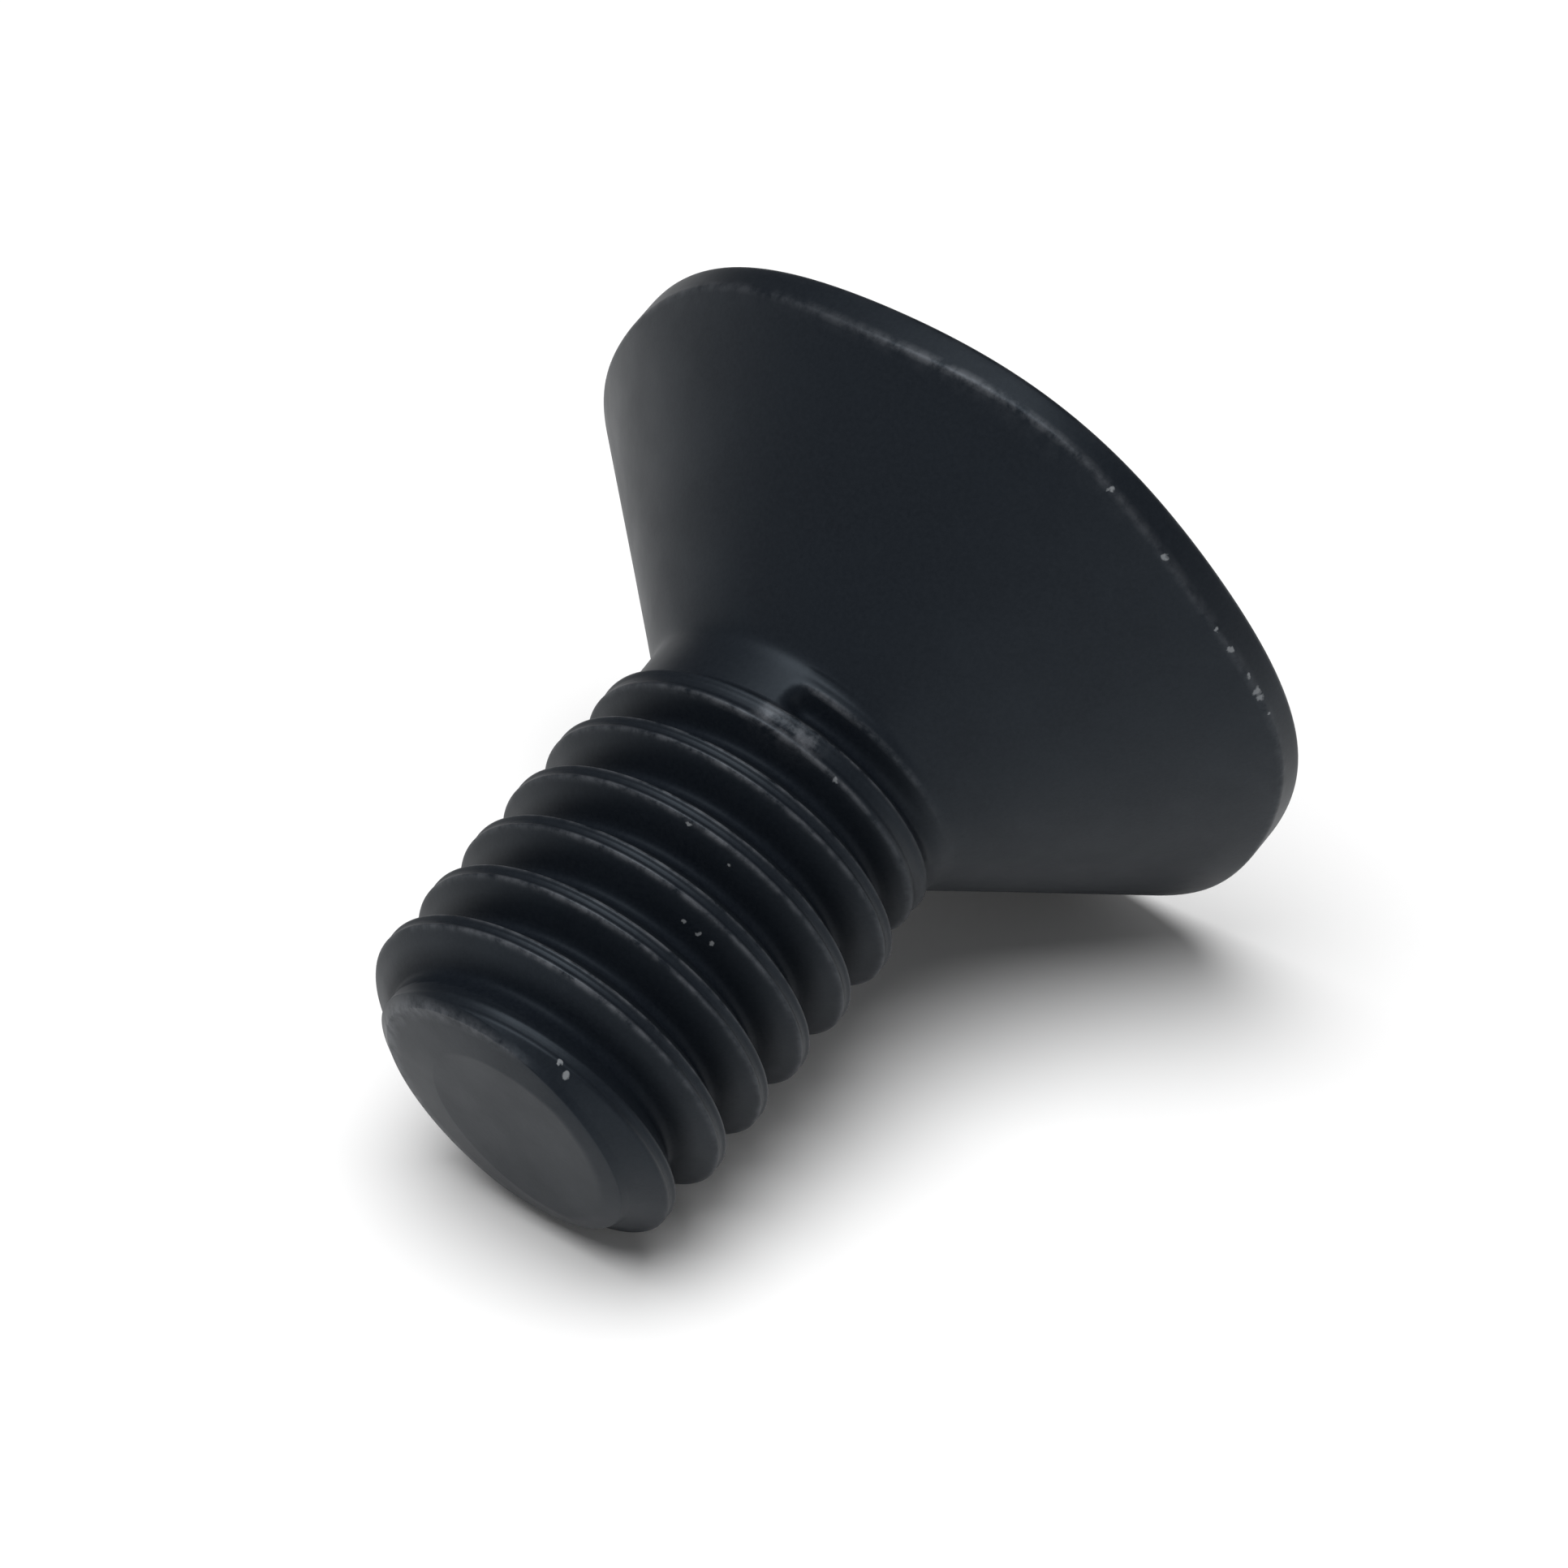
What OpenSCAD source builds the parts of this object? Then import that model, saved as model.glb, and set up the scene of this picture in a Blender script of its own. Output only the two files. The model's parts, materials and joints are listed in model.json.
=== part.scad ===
// Pin hexalobular security screw: countersunk head, metric machine thread.
// One steel piece, cold headed and then thread rolled. Millimetres.
// The screw is built along its own axis, head face at z = 0 and tip at +z,
// and is then laid on its side as it comes to rest, tip toward -X.

/* [Head] */

// Diameter of the head, M4 countersunk
head_d = 8.3; // [7.4:0.05:9.2]
// Height of the straight land round the head's edge
land_h = 0.36; // [0.1:0.02:0.6]
// Included angle of the countersink
sink_angle = 90; // [80:1:100]
// Radius on the land's two edges
edge_r = 0.07; // [0.02:0.01:0.12]
// Radius between the countersink and the neck
neck_fillet_r = 0.16; // [0.06:0.02:0.3]

/* [Drive] */

// Hexalobular size 20, across the lobes
lobe_d = 3.95; // [3.3:0.05:4.5]
// Hexalobular size 20, across the flutes
flute_d = 2.85; // [2.3:0.05:3.2]
// Radius of each lobe
lobe_r = 0.32; // [0.2:0.02:0.45]
// Depth of the recess at the lobes
recess_depth = 1.3; // [0.9:0.05:1.6]
// Extra depth of the coned floor at its middle
floor_drop = 0.25; // [0:0.05:0.5]
// Diameter of the centre pin
pin_d = 1.15; // [0.8:0.05:1.6]
// How far the pin's end stays below the head face
pin_below = 0.12; // [0:0.02:0.4]
// Chamfer on the pin's end
pin_chamfer = 0.12; // [0.04:0.02:0.3]

/* [Thread] */

// Length over all, at the middle of the end face
length = 7.85; // [5:0.05:20]
// Major diameter, M4 class 6g
major_d = 3.9; // [3.6:0.01:4.4]
// Thread pitch
pitch = 0.7; // [0.5:0.05:1]
// Depth of the thread, from crest to root
thread_depth = 0.4; // [0.2:0.01:0.55]
// How far rolling raised the crests above the blank, which shows as the plain neck
crest_rise = 0.17; // [0.05:0.01:0.3]
// Width of the flat on the crest
crest_w = 0.145; // [0.08:0.005:0.22]
// From the end of the countersink to the crest, where the thread runs out
runout_gap = 0.035; // [0:0.005:0.5]
// Turn angle over which the thread runs out into the neck
runout_angle = 30; // [15:7.5:90]
// From the end face back to the crest, where the thread starts
start_gap = 0.075; // [0:0.005:0.3]
// Turn angle over which the thread then rises to its full depth
start_angle = 220; // [90:10:360]

/* [Tip] */

// Diameter of the end face's rim
tip_d = 3.15; // [2.4:0.05:3.2]
// Diameter of the flat in the middle of the end face
tip_flat_d = 2.2; // [1:0.05:2.4]
// Crown of the end face, from rim to flat
tip_crown = 0.07; // [0:0.01:0.2]
// Angle of the break on the rim's edge to the axis
tip_angle = 60; // [45:1:70]
// How far the sheared end face is out of square
end_skew = 4; // [0:0.5:6]
// Side on which the end face reaches farthest, as an angle round the axis
end_skew_side = 296; // [0:1:359]
// How far the middle of the end face is off the screw's axis
end_shift = 0.15; // [0:0.01:0.2]
// Side to which it is shifted, as an angle round the axis
end_shift_side = 263; // [0:1:359]

/* [Quality] */

// Thread facets round one turn
thread_seg = 48; // [24:8:72]
// Facets round the head where it is drawn as a mesh
head_seg = 64; // [32:8:128]

/* [Hidden] */

$fn = 96;
steel = [0.11, 0.12, 0.14];

head_r = head_d / 2;
major_r = major_d / 2;
root_r = major_r - thread_depth;
blank_r = major_r - crest_rise;
pin_r = pin_d / 2;
slope = 1 / tan(sink_angle / 2);
neck_z = land_h + (head_r - blank_r) * slope;
first_crest = neck_z + runout_gap;

// The flank's run along the axis: from root to crest, and from blank to crest.
flank_full = min(thread_depth * tan(30), (pitch - crest_w) / 2 - 0.015);
flank_high = flank_full * crest_rise / thread_depth;

// Turned angle at which the thread starts at the tip, counted from its first crest.
end_angle = 360 * (length - start_gap - first_crest) / pitch;

// How fully the thread has risen from the plain neck at a turned angle.
function formed(angle) =
    let (part = min(1, max(0, angle / runout_angle + 0.5)))
    part * part * (3 - 2 * part);

// How fully the thread has risen from the root at the tip, at a turned angle.
function started(angle) = min(1, max(0, (end_angle - angle) / start_angle));

// The screw comes to rest on the head's edge and on the crest that the floor meets
// first as the tip goes down. Both touch on the side at 180 degrees, where the
// crest has the middle of a facet, so it touches at one of the facet's two corners.
edge_x = head_r - edge_r;
edge_z = land_h - edge_r * tan(sink_angle / 4);
rest_tilt = min([
    for (turn = [0.5 : 1 : floor((length - first_crest) / pitch) - 0.5]) for (side = [-1, 1])
    let (angle = 360 * turn + side * 180 / thread_seg)
    let (r = (root_r + started(angle) * thread_depth) * cos(180 / thread_seg))
    let (z = first_crest + pitch * angle / 360 + crest_w / 2)
    atan((edge_x - r) / (z - edge_z)) + asin(edge_r / norm([edge_x - r, z - edge_z]))
]);

// Points of a circular arc from angle a0 to a1.
function arc(cx, cy, r, a0, a1, n = 6) =
    [for (i = [0 : n]) let (a = a0 + (a1 - a0) * i / n) [cx + r * cos(a), cy + r * sin(a)]];

// Turned outline of the head: face, land, countersink and neck fillet.
module head_profile() {
    half = sink_angle / 2;
    inset = 0.01;
    fillet_x = blank_r - inset + neck_fillet_r;
    fillet_z = neck_z + inset * slope + neck_fillet_r * tan(half / 2);
    polygon(concat(
        [[0, 0]],
        arc(edge_x, edge_r, edge_r, -90, 0),
        arc(edge_x, edge_z, edge_r, 0, half),
        arc(fillet_x, fillet_z, neck_fillet_r, half - 180, -180, 8),
        [[0, fillet_z]]
    ));
}

// Turned so that a facet's middle, not a corner, is on the side it lies on.
module head() {
    rotate(180 / head_seg)
        rotate_extrude($fn = head_seg)
            head_profile();
}

// Angle turned along the thread at a column of the skin, counted from the upper side.
function column_angle(column) = (column + 0.5) * 360 / thread_seg;

// One pitch of the rolled profile as [offset along the axis, radius], from the
// blank's surface over the crest and down into the groove on its tip side.
profile = [
    [-crest_w / 2 - flank_high, blank_r],
    [-crest_w / 2, major_r],
    [crest_w / 2, major_r],
    [crest_w / 2 + flank_full, root_r],
    [pitch - crest_w / 2 - flank_full, root_r],
];

// Threaded shank with the plain neck above it, as one helical skin of strips.
// Each strip is a turn's profile, and its last row is the next turn's first.
module thread_skin() {
    rows = len(profile);
    first = -thread_seg - ceil(thread_seg * runout_angle / 360);
    last = ceil((length + 0.05 - first_crest - profile[0][0]) / pitch * thread_seg);
    strips = last - first;
    columns = strips + thread_seg;
    points = [
        for (i = [0 : columns])
        let (a = column_angle(first + i))
        for (p = profile)
        let (risen = blank_r + formed(a) * (p[1] - blank_r))
        let (r = root_r + started(a) * (risen - root_r))
        [r * cos(a), r * sin(a), first_crest + pitch * a / 360 + p[0]]
    ];
    inner = [0, 0, first_crest + pitch * (first + thread_seg / 2) / thread_seg];
    outer = [0, 0, first_crest + pitch * (first + strips + thread_seg / 2) / thread_seg];
    tail = len(points);
    function at(i, j) = j == rows ? (i + thread_seg) * rows : i * rows + j;
    polyhedron(
        points = concat(points, [inner, outer]),
        faces = concat(
            [for (i = [0 : strips - 1]) for (j = [0 : rows - 1])
                each [[at(i, j), at(i + 1, j + 1), at(i + 1, j)],
                      [at(i, j), at(i, j + 1), at(i + 1, j + 1)]]],
            [for (i = [0 : thread_seg - 1]) [tail, at(i, 0), at(i + 1, 0)]],
            [for (j = [0 : rows - 1]) [tail, at(0, j + 1), at(0, j)]],
            [for (i = [strips : columns - 1]) [tail + 1, at(i + 1, 0), at(i, 0)]],
            [for (j = [0 : rows - 1]) [tail + 1, at(strips, j), at(strips, j + 1)]]
        ),
        convexity = 10
    );
}

// Puts a body that ends at the tip out of square and off centre, as the face is sheared.
module sheared() {
    translate([end_shift * cos(end_shift_side), end_shift * sin(end_shift_side), length])
        rotate(end_skew_side) rotate([0, -end_skew, 0]) rotate(-end_skew_side)
            translate([0, 0, -length])
                children();
}

// Envelope that crops the thread at the tip: a crowned end face with a broken edge.
module shank_envelope() {
    clear_r = major_r + end_shift + length * tan(end_skew);
    rim_z = length - tip_crown;
    sheared() rotate_extrude() polygon([
        [0, land_h],
        [clear_r, land_h],
        [clear_r, rim_z - (clear_r - tip_d / 2) / tan(tip_angle)],
        [tip_d / 2, rim_z],
        [tip_flat_d / 2, length],
        [0, length],
    ]);
}

module shank() {
    intersection() {
        thread_skin();
        shank_envelope();
    }
}

// Hexalobular outline: six lobes joined by six flutes that all but touch them.
module hexalobular() {
    lobe_x = lobe_d / 2 - lobe_r;
    flute_x = flute_d / 2;
    overlap = 0.002;
    side = flute_x ^ 2 + lobe_x ^ 2 - 2 * flute_x * lobe_x * cos(30) - lobe_r ^ 2;
    flute_r = side / (2 * (lobe_r - flute_x + lobe_x * cos(30))) + overlap;
    reach = norm([(flute_x + flute_r) * cos(30) - lobe_x, (flute_x + flute_r) * sin(30)]);
    touch = atan2((flute_x + flute_r) * sin(30), (flute_x + flute_r) * cos(30) - lobe_x);
    near = lobe_r * 0.5 + (reach - flute_r) * 0.5;
    meet = [lobe_x + near * cos(touch), near * sin(touch)];
    difference() {
        union() {
            polygon([for (k = [0 : 5]) for (s = [-1, 1])
                [meet[0] * cos(60 * k) - s * meet[1] * sin(60 * k),
                 meet[0] * sin(60 * k) + s * meet[1] * cos(60 * k)]]);
            for (k = [0 : 5]) rotate(60 * k) translate([lobe_x, 0]) circle(r = lobe_r);
        }
        for (k = [0 : 5]) rotate(60 * k + 30) translate([flute_x + flute_r, 0]) circle(r = flute_r);
    }
}

// Space of the drive recess: a hexalobular well with a coned floor, round the pin.
module recess() {
    above = 0.5;
    difference() {
        intersection() {
            translate([0, 0, -above]) linear_extrude(recess_depth + floor_drop + above) hexalobular();
            rotate_extrude() polygon([
                [0, -above],
                [lobe_d, -above],
                [lobe_d, recess_depth],
                [lobe_d / 2, recess_depth],
                [0, recess_depth + floor_drop],
            ]);
        }
        centre_pin();
    }
}

module centre_pin() {
    rotate_extrude() polygon([
        [0, pin_below],
        [pin_r - pin_chamfer, pin_below],
        [pin_r, pin_below + pin_chamfer],
        [pin_r, recess_depth + floor_drop + 0.2],
        [0, recess_depth + floor_drop + 0.2],
    ]);
}

// The whole screw on its own axis.
module upright_screw() {
    difference() {
        union() {
            head();
            shank();
        }
        recess();
    }
}

// Lays the screw on its side, centred over the origin with its lowest line at z = 0.
module laid() {
    square = cos(rest_tilt) * cos(end_skew)
        - sin(rest_tilt) * sin(end_skew) * cos(end_skew_side);
    tip_reach = length * cos(rest_tilt) + end_shift * cos(end_shift_side) * sin(rest_tilt)
        + tip_d / 2 * sin(acos(square)) - tip_crown * square;
    head_reach = edge_x * sin(rest_tilt) + edge_r * (1 - cos(rest_tilt));
    lift = edge_x * cos(rest_tilt) + edge_z * sin(rest_tilt) + edge_r;
    translate([(tip_reach - head_reach) / 2, 0, lift])
        rotate([0, -90 - rest_tilt, 0])
            children();
}

module screw() {
    color(steel) laid() upright_screw();
}

screw();
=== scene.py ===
"""Looks of the pin hexalobular security screw.

The whole screw is one skin. From the drive recess outward it is a stack of rings over the
head; from there a sheet of rows follows the helix over the neck and the thread, and rings
close the sheared end face. It is made in millimetres on the screw's own axis, head face at
z = 0 and tip at +z, as the CAD source does, and is then laid where the frame's mounts say.
"""
import json
import math

import bmesh
import bpy
import numpy as np
from mathutils import Matrix, Vector


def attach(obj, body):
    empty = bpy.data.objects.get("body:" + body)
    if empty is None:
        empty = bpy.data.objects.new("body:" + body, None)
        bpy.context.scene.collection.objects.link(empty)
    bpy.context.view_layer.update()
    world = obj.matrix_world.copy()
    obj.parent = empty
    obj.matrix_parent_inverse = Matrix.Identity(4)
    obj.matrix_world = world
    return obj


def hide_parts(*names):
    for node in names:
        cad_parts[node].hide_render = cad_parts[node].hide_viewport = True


MM = 0.001

# Head.
HEAD_R = 8.3 / 2
LAND_H = 0.36
EDGE_R = 0.07
NECK_ROUND = 0.09
# The head's outline bulges a little in six places, as punching a recess of six lobes may
# leave it. The side it rests on is kept round here, so that it meets the floor.
HEAD_BULGE = 0.042
HEAD_BULGE_SIDE = math.radians(-31)

# Drive recess and centre pin.
LOBE_TIP_R = 3.95 / 2
FLUTE_TIP_R = 2.85 / 2
LOBE_R = 0.32
RECESS_DEPTH = 1.3
FLOOR_DROP = 0.25
RECESS_FLOOR_ROUND = 0.08
RECESS_MOUTH_ROUND = 0.035
PIN_R = 1.15 / 2
PIN_BELOW = 0.12
PIN_CHAMFER = 0.12
PIN_END_ROUND = 0.03
PIN_EDGE_ROUND = 0.05
PIN_FOOT_ROUND = 0.06

# Thread.
MAJOR_R = 3.9 / 2
THREAD_DEPTH = 0.4
CREST_RISE = 0.17
PITCH = 0.7
CREST_W = 0.145
CREST_ROUND = 0.014
ROOT_ROUND = 0.035
LAP_DEPTH = 0.022
LAP_SHARE = 0.55
FLANK_SLOPE = math.tan(math.radians(30))
RUNOUT_GAP = 0.035
# Degrees turned from the first crest: where the crests begin to rise toward the tip and
# where they are full, where the groove runs out, and the dies' last bite beside the neck,
# with the turns over which that bite begins and ends.
CRESTS_RISE = (60, 600)
GROOVE_RUNS_OUT = (90, 150)
LAST_BITE = (-120, -15)
LAST_BITE_ENDS = (60, 8)
START_GAP = 0.075
START_ANGLE = 220

# Tip.
LENGTH = 7.85
TIP_R = 3.15 / 2
TIP_FLAT_R = 1.15
TIP_FLAT_SHIFT = 0.22
TIP_CROWN = 0.07
TIP_CROWN_W = 0.2
TIP_BREAK = 0.08
TIP_ROUND = 0.025
TIP_FLAT_ROUND = 0.3
END_SKEW = math.radians(4)
END_SKEW_SIDE = math.radians(296)
END_SHIFT = 0.15
END_SHIFT_SIDE = math.radians(263)

# Wear and painted highlight. The land's lower edge and the crests are rubbed, and carry a painted
# highlight, most on one side, here with how far round that reaches, as an angle.
WORN_AND_SHEEN_LAND_SIDE, WORN_AND_SHEEN_LAND_SPREAD = math.radians(-18), 0.3
WORN_AND_SHEEN_CREST_SIDE, WORN_AND_SHEEN_CREST_SPREAD = math.radians(-20), 0.65
# Degrees turned over which one crest is rubbed on its top as well, and over which that
# fades before and after.
RUBBED_CREST = (329, 345)
RUBBED_CREST_FADES = (8, 4)
# Chips on the thread: degrees turned from the first crest, millimetres from the crest's
# middle, and radius.
CREST_CHIPS = ((1060, 0.1, 0.035), (1043, 0.16, 0.03), (1402, 0.2, 0.03), (1391, 0.19, 0.035),
               (1396, 0.2, 0.03), (2479, 0.126, 0.045), (2483.5, 0.072, 0.03), (315, 0.14, 0.035))
# Nicks in the land's lower edge: degrees round the axis, and radius.
LAND_NICKS = ((318.5, 0.04), (306.6, 0.045), (293.3, 0.025), (289.4, 0.045), (284, 0.035),
              (281, 0.055), (279.8, 0.05), (276.5, 0.02))
# How far the outline of a chip or nick wanders.
CHIP_RAGGED = 0.09

# Finish, in linear light, and the height of its grain in metres.
COAT_DARK = (0.0036, 0.0050, 0.0078)
COAT_LIGHT = (0.0064, 0.0086, 0.0122)
COAT_GRAIN = (0.015, 0.0185, 0.0235)
# The rubbed colour is bare steel on worn edges and also a painted highlight along the crests'
# lips, the land's lower edge and the end face's rim.
RUBBED_AND_SHEEN = (0.085, 0.09, 0.10)
CHIPPED = (0.17, 0.18, 0.19)
GLINT_TINT = (0.74, 0.87, 1.0)
GRAIN_HEIGHT = 2.0e-6

# Camera, at the photograph's viewing angle: where it looks, the way from there to it, and
# its distance in millimetres.
CAMERA_AIM = (1.312, 0.623, 2.361)
CAMERA_AZIMUTH = math.radians(217.47)
CAMERA_ELEVATION = math.radians(36.26)
CAMERA_DISTANCE = 91.85
CAMERA_LENS = 208.7

# Light: an even sky and a broad soft lamp almost overhead, a little to the front left.
# FLOOR_LIFT is what the floor shows above its own shading, as a share of white, and
# FLOOR_HALF is half its width in metres.
SKY = 0.13
SUN_STRENGTH = 3.2
SUN_SPREAD = math.radians(50)
SUN_AZIMUTH = math.radians(190)
SUN_ELEVATION = math.radians(75)
FLOOR_LIFT = 0.025
FLOOR_HALF = 0.6

ROOT_R = MAJOR_R - THREAD_DEPTH
BLANK_R = MAJOR_R - CREST_RISE
NECK_Z = LAND_H + HEAD_R - BLANK_R
FIRST_CREST = NECK_Z + RUNOUT_GAP
END_ANGLE = 360 * (LENGTH - START_GAP - FIRST_CREST) / PITCH
RIM_Z = LENGTH - TIP_CROWN

# Mesh columns round one turn. The rings of the head stop on the countersink at RING_Z,
# where the helical rows begin: a pitch lower on the last column than on the first, and
# still above the neck there.
COLUMNS = 204
ANGLES = np.arange(COLUMNS) * 2 * math.pi / COLUMNS
RING_Z = 1.7


def smooth_min(a, b, blend):
    """The lower of two heights, rounded over where they cross by half the blend."""
    return 0.5 * (a + b - np.sqrt((a - b) ** 2 + blend**2))


def smooth_max(a, b, blend):
    return -smooth_min(-a, -b, blend)


def smooth_step(x):
    x = np.clip(x, 0, 1)
    return x * x * (3 - 2 * x)


def angle_from(theta, side):
    """Angle from one side of the axis, between minus and plus half a turn."""
    return (theta - side + math.pi) % (2 * math.pi) - math.pi


def place(radius, theta, z):
    """Point at a distance from the screw's axis, an angle round it and a height."""
    return radius * math.cos(theta), radius * math.sin(theta), z


def direction(azimuth, elevation):
    """Unit vector in the frame, by its angle from +X toward +Y and above the floor."""
    level = math.cos(elevation)
    return Vector((math.cos(azimuth) * level, math.sin(azimuth) * level, math.sin(elevation)))


# The screw's surface.


def cone_radius(z):
    """Radius of the 90 degree countersink at a height."""
    return HEAD_R - (z - LAND_H)


def recess_radius(theta):
    """Distance from the axis to the hexalobular outline, lobe arcs joined by flute arcs."""
    sector = math.pi / 3
    folded = np.abs((theta + sector / 2) % sector - sector / 2)
    cos30 = math.cos(sector / 2)
    lobe_x = LOBE_TIP_R - LOBE_R
    side = FLUTE_TIP_R**2 + lobe_x**2 - 2 * FLUTE_TIP_R * lobe_x * cos30 - LOBE_R**2
    flute_r = side / (2 * (LOBE_R - FLUTE_TIP_R + lobe_x * cos30))
    flute_x = FLUTE_TIP_R + flute_r
    reach = LOBE_R / (LOBE_R + flute_r)
    meet_x = lobe_x + reach * (flute_x * cos30 - lobe_x)
    meet_y = reach * flute_x / 2
    on_lobe = folded < math.atan2(meet_y, meet_x)
    lobe_gap = np.maximum(LOBE_R**2 - (lobe_x * np.sin(folded)) ** 2, 0)
    lobe = lobe_x * np.cos(folded) + np.sqrt(lobe_gap)
    turn = sector / 2 - folded
    flute_gap = np.maximum(flute_r**2 - (flute_x * np.sin(turn)) ** 2, 0)
    flute = flute_x * np.cos(turn) - np.sqrt(flute_gap)
    return np.where(on_lobe, lobe, flute)


def head_bulge(theta):
    """How far the land stands out of its circle. The edge beside the cone rises as much."""
    resting = np.exp(-((angle_from(theta, math.pi) / 0.5) ** 4))
    return HEAD_BULGE * np.cos(6 * (theta - HEAD_BULGE_SIDE)) * (1 - resting)


def crest_top(turned):
    """Height of the crest over the root, and half its width there.

    Rolling raised it less beside the neck, where it stays low and wide."""
    low, full = CRESTS_RISE
    top = THREAD_DEPTH - CREST_RISE * (1 - smooth_step((turned - low) / (full - low)))
    return top, CREST_W / 2 + (THREAD_DEPTH - top) * FLANK_SLOPE


def thread_height(turned, offset):
    """Height of the thread over its root, by the distance along the axis from its crest.

    Rolling pushes the metal up both flanks, so the crest has two lips and a lap line."""
    top, half_w = crest_top(turned)
    flank = top + (half_w - np.abs(offset)) / FLANK_SLOPE
    height = smooth_min(flank, top, CREST_ROUND)
    height = smooth_max(height, 0.0, ROOT_ROUND)
    return height - LAP_DEPTH * np.exp(-((offset / half_w / LAP_SHARE) ** 4))


def thread_place(theta, z):
    """Degrees turned from the first crest to the nearest crest, and distance from its middle."""
    turns = (z - FIRST_CREST) / PITCH - theta / (2 * math.pi)
    crest = np.round(turns)
    return 360 * crest + np.degrees(theta), (turns - crest) * PITCH


def groove_sunk(turned, offset):
    """How fully the groove on this side of a crest has sunk below the neck, from 0 to 1."""
    turned = np.where(offset < 0, turned - 360, turned)
    out, full = GROOVE_RUNS_OUT
    first, last = LAST_BITE
    begins, ends = LAST_BITE_ENDS
    bite = smooth_step((turned - first) / begins) * smooth_step((last - turned) / ends)
    return np.maximum(smooth_step((turned - out) / (full - out)), bite)


def shank_radius(theta, z):
    """Radius of the countersink, the neck and the thread at turn angle theta and height z."""
    turned, offset = thread_place(theta, z)
    above = thread_height(turned, offset) - (THREAD_DEPTH - CREST_RISE)
    sunk = groove_sunk(turned, offset)
    risen = BLANK_R + np.maximum(above, 0) + sunk * np.minimum(above, 0)
    started = np.clip((END_ANGLE - turned) / START_ANGLE, 0, 1)
    thread = ROOT_R + started * (risen - ROOT_R)
    return smooth_max(thread, cone_radius(z), NECK_ROUND)


# The mesh.


def rounded_corner(before, corner, after, radius, steps=5):
    """Points of an arc that rounds a corner of a profile, as (radius, z) pairs."""
    p, c, n = (np.array(v, float) for v in (before, corner, after))
    into, out = (c - p) / np.linalg.norm(c - p), (n - c) / np.linalg.norm(n - c)
    turn = math.acos(float(np.clip(into @ out, -1, 1)))
    cut = radius * math.tan(turn / 2)
    centre = c - into * cut + radius * (out - into * (into @ out)) / math.sin(turn)
    start, end = c - into * cut - centre, c + out * cut - centre
    points = []
    for k in range(steps + 1):
        a = turn * k / steps
        ray = (start * math.sin(turn - a) + end * math.sin(a)) / math.sin(turn)
        points.append(tuple(centre + ray))
    return points


class Skin:
    """Points and faces of one closed mesh, collected in rings of one point a column."""

    def __init__(self):
        self.points = []
        self.faces = []

    def add(self, point):
        self.points.append(point)
        return len(self.points) - 1

    def ring(self, radius, z):
        radius = np.broadcast_to(radius, COLUMNS)
        z = np.broadcast_to(z, COLUMNS)
        return [self.add(place(r, a, h)) for r, a, h in zip(radius, ANGLES, z)]

    def join(self, inner, outer):
        """Closes the band between two rings."""
        for c in range(COLUMNS):
            d = (c + 1) % COLUMNS
            self.faces.append((inner[c], inner[d], outer[d], outer[c]))


def recess_floor(radius):
    """Depth of the coned floor at a distance from the axis."""
    return RECESS_DEPTH + FLOOR_DROP * (1 - radius / LOBE_TIP_R)


def pin_profile():
    """Pin from near the middle of its end, over the chamfer and down to the recess floor."""
    end = (0.3, PIN_BELOW)
    inner = (PIN_R - PIN_CHAMFER, PIN_BELOW)
    outer = (PIN_R, PIN_BELOW + PIN_CHAMFER)
    foot = (PIN_R, recess_floor(PIN_R))
    floor = (LOBE_TIP_R, RECESS_DEPTH)
    points = [end]
    points += rounded_corner(end, inner, outer, PIN_END_ROUND)
    points += rounded_corner(inner, outer, foot, PIN_EDGE_ROUND)
    points += [(PIN_R, z) for z in np.linspace(0.35, 1.35, 5)]
    return points + rounded_corner(outer, foot, floor, PIN_FOOT_ROUND)


def recess_rings(skin, foot_r):
    """Rings over the recess floor, up its wall and out over its mouth."""
    star = recess_radius(ANGLES)
    quarter = np.linspace(0, math.pi / 2, 5)
    edge = star - RECESS_FLOOR_ROUND
    rings = []
    for part in (0.1, 0.3, 0.5, 0.7, 0.9):
        radius = foot_r + (edge - foot_r) * part
        rings.append(skin.ring(radius, recess_floor(radius)))
    for a in quarter:
        rings.append(skin.ring(edge + RECESS_FLOOR_ROUND * math.sin(a),
                               recess_floor(edge) - RECESS_FLOOR_ROUND * (1 - math.cos(a))))
    low = recess_floor(edge) - RECESS_FLOOR_ROUND
    for part in (0.05, 0.35, 0.65, 0.95):
        rings.append(skin.ring(star, low + (RECESS_MOUTH_ROUND - low) * part))
    for a in quarter:
        rings.append(skin.ring(star + RECESS_MOUTH_ROUND * (1 - math.cos(a)),
                               RECESS_MOUTH_ROUND * (1 - math.sin(a))))
    return rings, star + RECESS_MOUTH_ROUND


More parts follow.
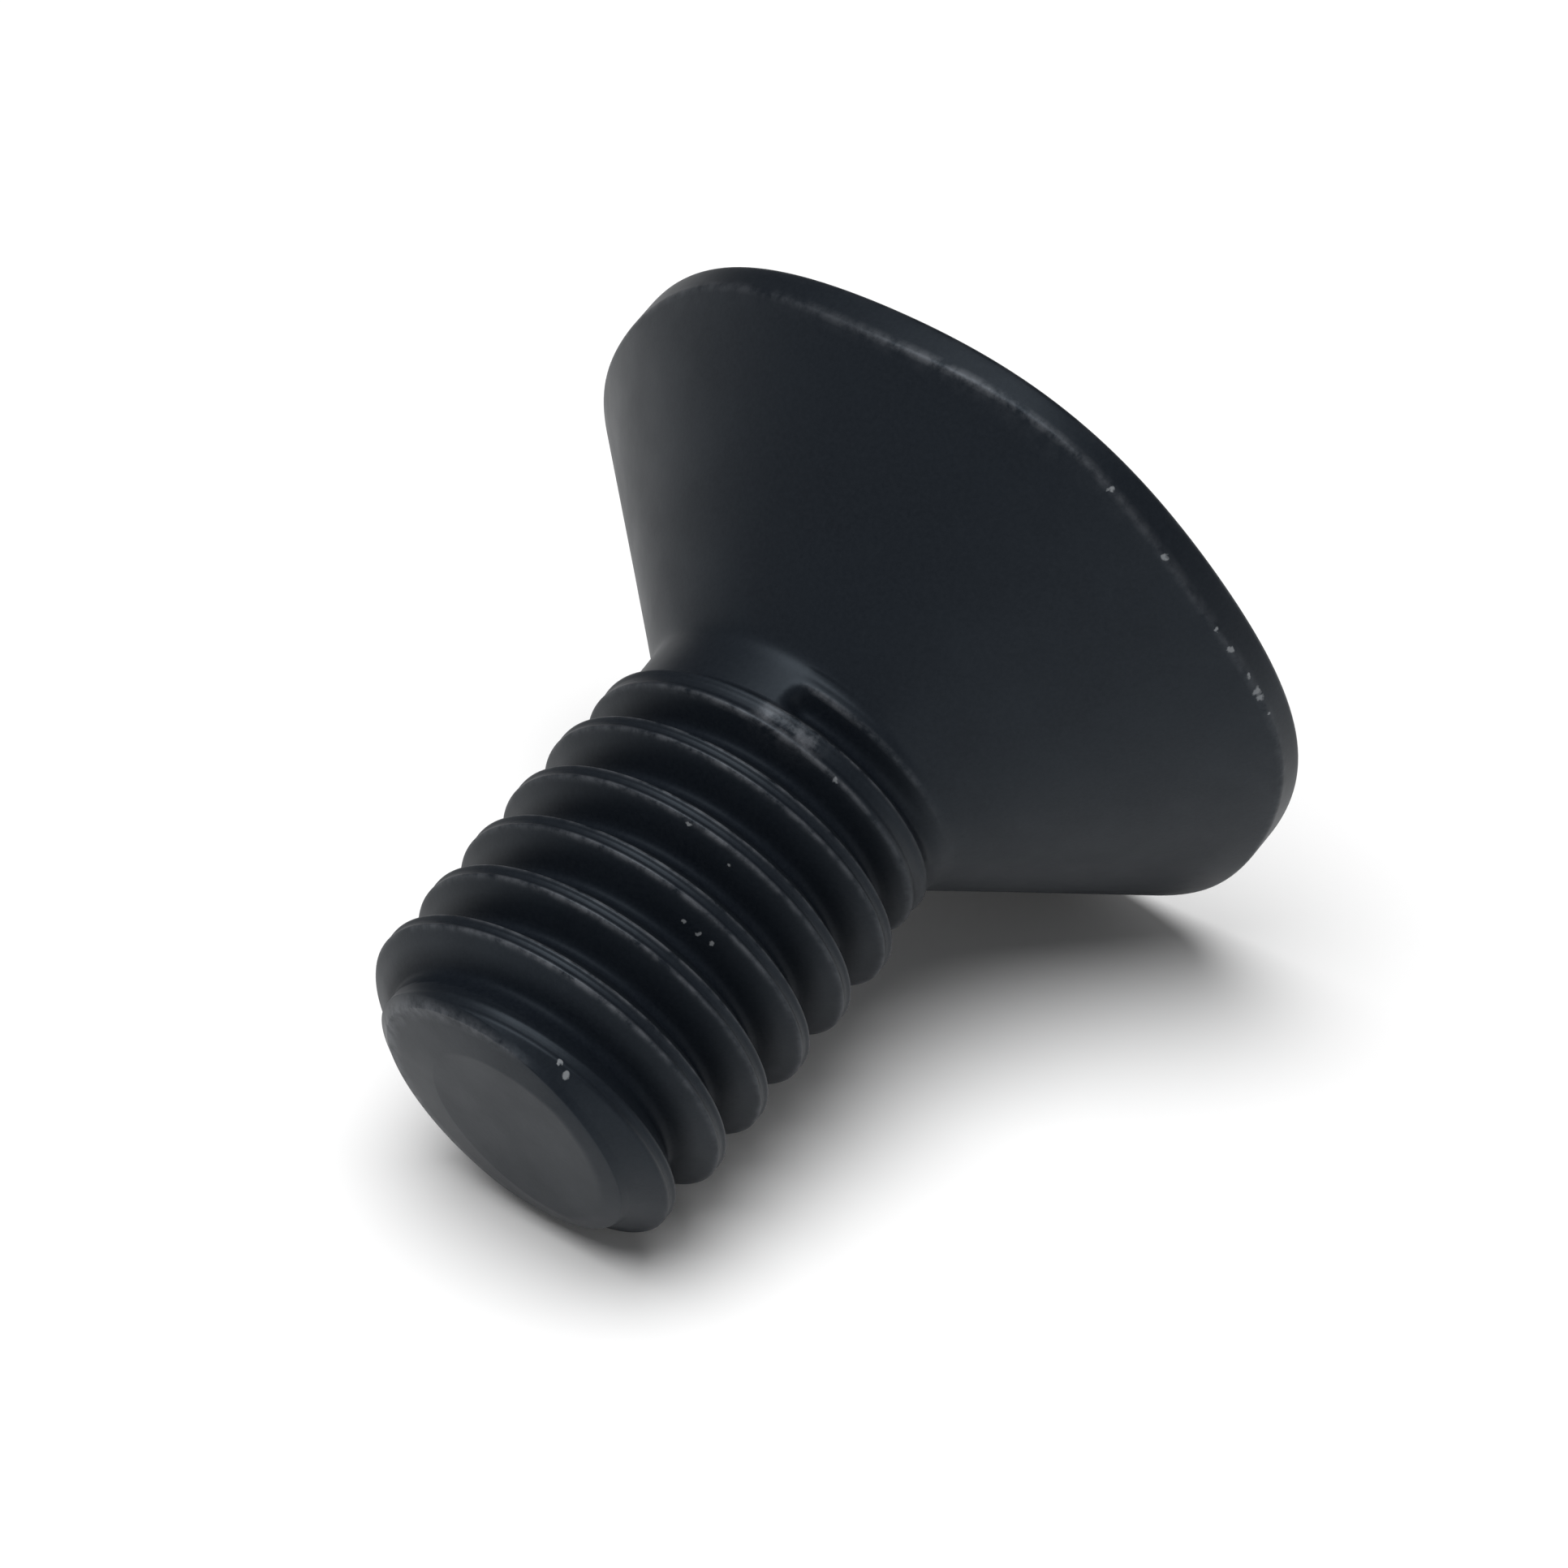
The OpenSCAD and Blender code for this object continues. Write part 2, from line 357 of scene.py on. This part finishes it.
def head_rings(skin):
    """Rings from the pin's end over the recess, the face and the land to the countersink."""
    pin = pin_profile()
    rings = [skin.ring(radius, z) for radius, z in pin]
    more, mouth = recess_rings(skin, pin[-1][0])
    rings += more
    bulge = head_bulge(ANGLES)
    for part in (0.02, 0.2, 0.4, 0.6, 0.8, 0.98):
        rings.append(skin.ring(mouth + (HEAD_R + bulge - EDGE_R - mouth) * part, 0.0))
    for radius, z in rounded_corner((0, 0), (HEAD_R, 0), (HEAD_R, LAND_H), EDGE_R, 7):
        rings.append(skin.ring(radius + bulge, z))
    corner = rounded_corner((HEAD_R, 0), (HEAD_R, LAND_H), (BLANK_R, NECK_Z), EDGE_R, 6)
    for part in (0.25, 0.5, 0.75):
        z = EDGE_R + (corner[0][1] - bulge - EDGE_R) * part
        rings.append(skin.ring(HEAD_R + bulge, z))
    for radius, z in corner:
        rings.append(skin.ring(radius + bulge, z - bulge))
    end = corner[-1][1]
    past = end + 0.03
    rings.append(skin.ring(cone_radius(past) + bulge, past - bulge))
    for z in np.linspace(end, RING_Z, 11)[1:]:
        rings.append(skin.ring(cone_radius(z), z))
    for inner, outer in zip(rings, rings[1:]):
        skin.join(inner, outer)
    centre = skin.add((0, 0, PIN_BELOW))
    for c in range(COLUMNS):
        skin.faces.append((centre, rings[0][(c + 1) % COLUMNS], rings[0][c]))
    return rings[-1]


def row_offsets():
    """Row places over one pitch from the sheet's start, closest at the crest and the root."""
    lip = 0.13
    root = PITCH / 2 - 0.09
    lead = 0.02
    half = np.concatenate([np.linspace(0, lip, 13)[:-1], np.linspace(lip, root, 6)[:-1],
                           np.linspace(root, PITCH / 2, 4)])
    from_crest = np.concatenate([half, PITCH - half[-2:0:-1]])
    return np.sort((from_crest + FIRST_CREST - RING_Z - lead) % PITCH) + lead


def shank_sheet(skin, ring):
    """Rows that follow the helix from the countersink to past the tip, open at the tip."""
    offsets = row_offsets()
    per_pitch = len(offsets)
    rows = math.ceil((LENGTH + 0.3 - RING_Z) / PITCH * per_pitch)
    columns = []
    for c in range(COLUMNS):
        count = rows + 1 + (per_pitch if c == 0 else 0)
        index = np.arange(count)
        z = RING_Z + PITCH * (index // per_pitch + c / COLUMNS) + offsets[index % per_pitch]
        radius = shank_radius(ANGLES[c], z)
        columns.append([skin.add(place(r, ANGLES[c], h)) for r, h in zip(radius, z)])
    columns.append(columns[0][per_pitch:])
    for left, right in zip(columns, columns[1:]):
        for row in range(rows):
            skin.faces.append((left[row], right[row], right[row + 1], left[row + 1]))
    for c in range(COLUMNS - 1):
        skin.faces.append((ring[c], ring[c + 1], columns[c + 1][0], columns[c][0]))
    step = [ring[0]] + columns[0][:per_pitch + 1] + [columns[-2][0]]
    for a, b in zip(step, step[1:]):
        skin.faces.append((ring[-1], a, b))


def sheared():
    """Transform of the tip's points, out of square and off centre as the end is sheared."""
    shift = (END_SHIFT * math.cos(END_SHIFT_SIDE), END_SHIFT * math.sin(END_SHIFT_SIDE), LENGTH)
    side = Matrix.Rotation(END_SKEW_SIDE, 4, "Z")
    skew = side @ Matrix.Rotation(-END_SKEW, 4, "Y") @ side.inverted()
    return Matrix.Translation(shift) @ skew @ Matrix.Translation((0, 0, -LENGTH))


def face_profile(cut_r, theta):
    """End face from the cut thread to near its middle: broken edge, crown and flat."""
    rim = (min(TIP_R, cut_r - TIP_ROUND), RIM_Z)
    flat_r = TIP_FLAT_R + TIP_FLAT_SHIFT * math.cos(theta - END_SHIFT_SIDE)
    flat_r = min(flat_r, rim[0] - TIP_CROWN_W)
    flat = (flat_r, LENGTH)
    points = rounded_corner((cut_r, RIM_Z - TIP_BREAK), rim, flat, TIP_ROUND)
    part = 0.3
    points.append((rim[0] * (1 - part) + flat_r * part, RIM_Z + part * TIP_CROWN))
    points += rounded_corner(rim, flat, (0, LENGTH), TIP_FLAT_ROUND, 4)
    return points + [(flat_r * part, LENGTH) for part in (0.6, 0.3)]


def close_tip(mesh):
    """Cuts the sheet along the sheared end face and closes it with the face's rings."""
    shear = sheared()
    skin = bmesh.new()
    skin.from_mesh(mesh)
    cut = bmesh.ops.bisect_plane(
        skin, geom=skin.verts[:] + skin.edges[:] + skin.faces[:],
        plane_co=shear @ Vector((0, 0, RIM_Z - TIP_BREAK)),
        plane_no=shear.to_3x3() @ Vector((0, 0, 1)), clear_outer=True)
    rim = [g for g in cut["geom_cut"] if isinstance(g, bmesh.types.BMVert)]
    bmesh.ops.remove_doubles(skin, verts=rim, dist=0.003)
    back = shear.inverted()
    edge = []
    for v in (v for v in rim if v.is_valid):
        p = back @ v.co
        edge.append((math.atan2(p.y, p.x), math.hypot(p.x, p.y), v))
    edge.sort(key=lambda item: item[0])
    lines = []
    for theta, cut_r, v in edge:
        line = [v]
        for radius, z in face_profile(cut_r, theta):
            line.append(skin.verts.new(shear @ Vector(place(radius, theta, z))))
        lines.append(line)
    centre = skin.verts.new(shear @ Vector((0, 0, LENGTH)))
    for here, there in zip(lines, lines[1:] + lines[:1]):
        for k in range(len(here) - 1):
            skin.faces.new((here[k], there[k], there[k + 1], here[k + 1]))
        skin.faces.new((here[-1], there[-1], centre))
    skin.to_mesh(mesh)
    skin.free()


def laid(record):
    """Transform from the screw's own millimetres to the frame, read from the mounts."""
    mounts = {m["name"]: m for m in record["mounts"]}
    out = Vector(mounts["head_face"]["axis"]).normalized()
    on_axis = Vector(mounts["security_pin"]["pos_m"])
    on_face = Vector(mounts["head_face"]["pos_m"])
    head_centre = on_axis + out * (on_face - on_axis).dot(out)
    side = Vector((0, 1, 0))
    turn = Matrix((side.cross(-out), side, -out)).transposed()
    return Matrix.Translation(head_centre) @ turn.to_4x4() @ Matrix.Scale(MM, 4)


# Wear, painted highlight and painted shade.


def near(distance, reach):
    """1 at a place, fading to 0 past the reach."""
    return np.exp(-((distance / reach) ** 2))


def polar(points):
    """Distance from the axis, angle round it and height of each point."""
    theta = np.arctan2(points[:, 1], points[:, 0]) % (2 * math.pi)
    return np.hypot(points[:, 0], points[:, 1]), theta, points[:, 2]


def edge_wear_and_sheen(points):
    """How far the finish is rubbed off at each point, with a painted highlight on top, from 0 to
    1 along the edges.
    """
    radius, theta, z = polar(points)
    back = np.array(sheared().inverted())
    from_tip_axis, _, tip_z = polar(points @ back[:3, :3].T + back[:3, 3])
    turned, offset = thread_place(theta, z)
    top, half_w = crest_top(turned)
    sunk = groove_sunk(turned, offset)
    on_thread = sunk * smooth_step((z - NECK_Z) / 0.1)
    on_crest = on_thread * smooth_step(((radius - ROOT_R) / top - 0.65) / 0.25)
    start, end = RUBBED_CREST
    before, after = RUBBED_CREST_FADES
    patch = smooth_step((turned - start + before) / before)
    patch *= smooth_step((end - turned + after) / after)
    # The edges are made brightest toward one side: a painted highlight over the wear.
    crest_side = 0.35 + 0.65 * near(angle_from(theta, WORN_AND_SHEEN_CREST_SIDE), WORN_AND_SHEEN_CREST_SPREAD)
    land_side = 0.3 + 0.7 * near(angle_from(theta, WORN_AND_SHEEN_LAND_SIDE), WORN_AND_SHEEN_LAND_SPREAD)
    bulge = head_bulge(theta)
    from_land = radius - HEAD_R - bulge
    # The land's lower edge, the crests' lips and the end face's rim carry a painted highlight as
    # well as wear.
    return np.max([
        near(np.hypot(from_land, z - LAND_H + bulge), 0.05) * land_side,
        near(np.hypot(from_land, z), 0.05) * 0.3,
        near(np.hypot(radius - recess_radius(theta), z), 0.05),
        near(np.hypot(radius - PIN_R + PIN_CHAMFER, z - PIN_BELOW), 0.04),
        near(np.hypot(radius - PIN_R, z - PIN_BELOW - PIN_CHAMFER), 0.04),
        near(np.abs(offset) - half_w, 0.02) * on_crest * crest_side,
        near(offset, half_w) * patch,
        near(np.hypot(from_tip_axis - TIP_R, tip_z - RIM_Z), 0.016) * 0.8,
    ], axis=0)


def groove_painted_shade(points):
    """How deep in the thread's groove each point lies, from 0 to 1 at the root, for painted shade
    that takes gloss away there.
    """
    radius, _, z = polar(points)
    deep = np.clip((MAJOR_R - CREST_RISE * 0.6 - radius) / THREAD_DEPTH * 1.6, 0, 1)
    return deep * smooth_step((radius - cone_radius(z)) / 0.1) * (z < LENGTH - 0.35)


def chips():
    """Centre and radius of each chip and nick, on the screw's own axis."""
    for turned, offset, size in CREST_CHIPS:
        theta = math.radians(turned)
        z = FIRST_CREST + PITCH * turned / 360 + offset
        radius = float(shank_radius(theta % (2 * math.pi), z))
        yield place(radius, theta, z), size
    for degrees, size in LAND_NICKS:
        theta = math.radians(degrees)
        bulge = float(head_bulge(theta))
        yield place(HEAD_R + bulge, theta, LAND_H - bulge), size


def build_screw(record):
    """The screw's mesh, with its own millimetres, its wear with painted highlight and its painted
    groove shade kept for the material.
    """
    skin = Skin()
    shank_sheet(skin, head_rings(skin))
    mesh = bpy.data.meshes.new("screw_skin")
    mesh.from_pydata(skin.points, [], skin.faces)
    close_tip(mesh)
    points = np.empty(len(mesh.vertices) * 3)
    mesh.vertices.foreach_get("co", points)
    points = points.reshape(-1, 3)
    own = mesh.attributes.new("own_mm", "FLOAT_VECTOR", "POINT")
    own.data.foreach_set("vector", points.ravel())
    for name, values in (("wear_and_sheen", edge_wear_and_sheen(points)), ("groove_painted_shade", groove_painted_shade(points))):
        mesh.attributes.new(name, "FLOAT", "POINT").data.foreach_set("value", values)
    mesh.transform(laid(record))
    mesh.polygons.foreach_set("use_smooth", [True] * len(mesh.polygons))
    mesh.update()
    screw = bpy.data.objects.new("screw_skin", mesh)
    bpy.context.scene.collection.objects.link(screw)
    return screw


# Materials.


def new_material(name):
    material = bpy.data.materials.new(name)
    material.use_nodes = True
    return material, material.node_tree


def node(tree, kind, settings=None, **sockets):
    """Adds a shader node. A socket takes a number or a link, and _2 names the third one."""
    made = tree.nodes.new("ShaderNode" + kind)
    for name, value in (settings or {}).items():
        setattr(made, name, value)
    for name, value in sockets.items():
        key = int(name[1:]) if name[0] == "_" else name.replace("_", " ")
        if isinstance(value, bpy.types.NodeSocket):
            tree.links.new(value, made.inputs[key])
        else:
            made.inputs[key].default_value = value
    return made


def math_node(tree, operation, a, b=0.0, clamp=False):
    """Result of a sum on two values, each a link or a number."""
    return node(tree, "Math", {"operation": operation, "use_clamp": clamp}, _0=a, _1=b).outputs[0]


def ranged(tree, value, low, high, to_low=0.0, to_high=1.0):
    """A value taken from one range to another, and held at its ends."""
    return node(tree, "MapRange", Value=value, From_Min=low, From_Max=high,
                To_Min=to_low, To_Max=to_high).outputs[0]


def noise(tree, vector, scale, detail=2.0, rough=0.5):
    made = node(tree, "TexNoise", Vector=vector, Scale=scale, Detail=detail, Roughness=rough)
    return made.outputs[0]


def mixed(tree, factor, a, b):
    """Blend of two colours, each a link or red, green and blue."""
    def colour(value):
        return value if isinstance(value, bpy.types.NodeSocket) else (*value, 1)
    return node(tree, "Mix", {"data_type": "RGBA"}, _0=factor, _6=colour(a),
                _7=colour(b)).outputs[2]


def black_oxide():
    """Blackened steel: matt blue-black, grainy, rubbed brighter on edges with a painted highlight
    there, less glossy deep in the grooves as painted shade, with a few chips.
    """
    material, tree = new_material("black_steel")
    own = node(tree, "Attribute", {"attribute_name": "own_mm"}).outputs["Vector"]
    wear_and_sheen = node(tree, "Attribute", {"attribute_name": "wear_and_sheen"}).outputs["Fac"]
    groove_painted_shade_fac = node(tree, "Attribute", {"attribute_name": "groove_painted_shade"}).outputs["Fac"]
    cloud = noise(tree, own, 0.9, 4.0, 0.6)
    grain = noise(tree, own, 22.0, 4.0, 0.75)
    broken = noise(tree, own, 5.0, 4.0, 0.65)
    # Rubbed edges, lighter as wear and as a painted highlight.
    rubbed_and_sheen = math_node(tree, "MULTIPLY", wear_and_sheen, ranged(tree, broken, 0.36, 0.62), clamp=True)
    ragged = node(tree, "TexNoise", Vector=own, Scale=18.0, Detail=2.0).outputs["Color"]
    ragged = node(tree, "VectorMath", {"operation": "MULTIPLY_ADD"}, _0=ragged,
                  _1=(CHIP_RAGGED,) * 3, _2=own).outputs[0]
    chipped = None
    for centre, size in chips():
        middle = tuple(value + CHIP_RAGGED / 2 for value in centre)
        reach = node(tree, "VectorMath", {"operation": "DISTANCE"}, _0=ragged, _1=middle)
        spot = ranged(tree, reach.outputs["Value"], size, size * 0.6)
        chipped = spot if chipped is None else math_node(tree, "MAXIMUM", chipped, spot)
    coat = mixed(tree, ranged(tree, cloud, 0.3, 0.7), COAT_DARK, COAT_LIGHT)
    coat = mixed(tree, ranged(tree, grain, 0.3, 0.75, 0.0, 0.45), coat, COAT_GRAIN)
    # Wear with painted highlight on the edges, then the chips.
    colour = mixed(tree, rubbed_and_sheen, coat, RUBBED_AND_SHEEN)
    colour = mixed(tree, chipped, colour, CHIPPED)
    rough = ranged(tree, cloud, 0.3, 0.7, 0.5, 0.42)
    rough = math_node(tree, "SUBTRACT", rough, math_node(tree, "MULTIPLY", rubbed_and_sheen, 0.08))
    # Painted shade: the thread's grooves reflect less the deeper they lie.
    gloss = ranged(tree, groove_painted_shade_fac, 0.2, 1.0, 0.22, 0.05)
    bump = node(tree, "Bump", Height=grain, Distance=GRAIN_HEIGHT, Strength=0.5)
    shader = tree.nodes["Principled BSDF"]
    shader.inputs["Specular Tint"].default_value = (*GLINT_TINT, 1)
    tree.links.new(gloss, shader.inputs["Specular IOR Level"])
    tree.links.new(colour, shader.inputs["Base Color"])
    tree.links.new(rough, shader.inputs["Roughness"])
    tree.links.new(bump.outputs[0], shader.inputs["Normal"])
    return material


def floor_white():
    """White floor that shows as plain white where no shadow lies on it."""
    material, tree = new_material("floor_white")
    shader = tree.nodes["Principled BSDF"]
    shader.inputs["Base Color"].default_value = (0.95, 0.95, 0.95, 1)
    shader.inputs["Roughness"].default_value = 1.0
    shader.inputs["Specular IOR Level"].default_value = 0.0
    rays = node(tree, "LightPath")
    seen = math_node(tree, "ADD", rays.outputs["Is Camera Ray"],
                     rays.outputs["Is Glossy Ray"], clamp=True)
    tree.links.new(math_node(tree, "MULTIPLY", seen, FLOOR_LIFT),
                   shader.inputs["Emission Strength"])
    shader.inputs["Emission Color"].default_value = (1, 1, 1, 1)
    return material


# Camera, light and floor.


def add_camera():
    away = direction(CAMERA_AZIMUTH, CAMERA_ELEVATION)
    camera = bpy.data.cameras.new("camera")
    camera.lens = CAMERA_LENS
    camera.clip_start = 0.005
    holder = bpy.data.objects.new("camera", camera)
    holder.location = (Vector(CAMERA_AIM) + away * CAMERA_DISTANCE) * MM
    holder.rotation_euler = (-away).to_track_quat("-Z", "Y").to_euler()
    bpy.context.scene.collection.objects.link(holder)
    bpy.context.scene.camera = holder


def add_floor():
    mesh = bpy.data.meshes.new("floor")
    corners = [(x * FLOOR_HALF, y * FLOOR_HALF, 0)
               for x, y in ((-1, -1), (1, -1), (1, 1), (-1, 1))]
    mesh.from_pydata(corners, [], [(0, 1, 2, 3)])
    mesh.materials.append(floor_white())
    floor = bpy.data.objects.new("floor", mesh)
    bpy.context.scene.collection.objects.link(floor)


def add_light():
    scene = bpy.context.scene
    scene.view_settings.view_transform = "Standard"
    world = bpy.data.worlds.new("soft_white")
    world.use_nodes = True
    background = world.node_tree.nodes["Background"]
    background.inputs["Color"].default_value = (1, 1, 1, 1)
    background.inputs["Strength"].default_value = SKY
    scene.world = world
    sun = bpy.data.lights.new("soft_lamp", "SUN")
    sun.energy = SUN_STRENGTH
    sun.angle = SUN_SPREAD
    holder = bpy.data.objects.new("soft_lamp", sun)
    toward = direction(SUN_AZIMUTH, SUN_ELEVATION)
    holder.rotation_euler = toward.to_track_quat("Z", "Y").to_euler()
    scene.collection.objects.link(holder)


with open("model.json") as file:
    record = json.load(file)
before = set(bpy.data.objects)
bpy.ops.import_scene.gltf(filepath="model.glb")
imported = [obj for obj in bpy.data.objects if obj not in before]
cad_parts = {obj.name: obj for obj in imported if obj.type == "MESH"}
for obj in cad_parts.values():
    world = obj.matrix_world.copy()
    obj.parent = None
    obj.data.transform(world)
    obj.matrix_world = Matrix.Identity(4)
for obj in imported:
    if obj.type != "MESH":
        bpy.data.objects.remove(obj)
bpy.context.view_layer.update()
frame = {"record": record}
screw = build_screw(frame["record"])
screw.data.materials.append(black_oxide())
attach(screw, "root")
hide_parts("screw")
add_floor()
add_light()
add_camera()
